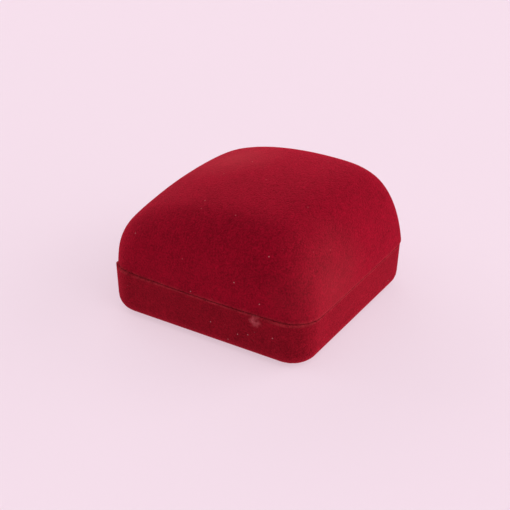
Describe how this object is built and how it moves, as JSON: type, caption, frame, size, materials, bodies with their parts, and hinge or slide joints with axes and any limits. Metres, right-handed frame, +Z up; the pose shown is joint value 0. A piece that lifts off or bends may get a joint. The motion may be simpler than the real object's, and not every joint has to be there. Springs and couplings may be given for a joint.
{
  "type": "ring box",
  "caption": "Small hinged ring box with a low base, a vaulted lid and a red flocked velvet cover, a slotted cushion inside and a padded satin lid lining.",
  "frame": {"origin": "centre of the underside of the closed box, on the surface it stands on", "axes": "+X to the right along the hinge, +Y from the front to the hinge, +Z up"},
  "size_m": [0.0532, 0.0542, 0.0328],
  "materials": {
    "red_velvet": "deep red flocked velvet with a short dense pile",
    "red_velvet_lining": "deep red velvet cloth over foam and card",
    "base_felt": "thin dark red felt",
    "shell_plastic": "moulded, dark red-black, matt",
    "card": "grey card",
    "foam": "open foam",
    "cream_satin": "ivory satin with soft folds",
    "hinge_steel": "brass-washed pressed steel",
    "spring_steel": "plain spring steel"
  },
  "bodies": {
    "base": {"base_shell": "shell_plastic", "base_velvet": "red_velvet", "bottom_pad": "base_felt", "base_liner": "red_velvet_lining", "cushion_board": "card", "roll_foam_front": "foam", "roll_foam_rear": "foam", "roll_velvet_front": "red_velvet_lining", "roll_velvet_rear": "red_velvet_lining", "hinge_base_leaf": "hinge_steel", "hinge_pin": "hinge_steel", "base_rivets": "hinge_steel", "snap_spring": "spring_steel"},
    "lid": {"lid_shell": "shell_plastic", "lid_velvet": "red_velvet", "lid_liner": "card", "lid_foam": "foam", "lid_satin": "cream_satin", "hinge_lid_leaf": "hinge_steel", "lid_rivets": "hinge_steel"}
  },
  "joints": [
    {"name": "lid_hinge", "type": "hinge", "parent": "base", "child": "lid", "pos_m": [0, 0.0259, 0.0118], "axis": [-1, 0, 0], "range_deg": [0, 95]}
  ]
}
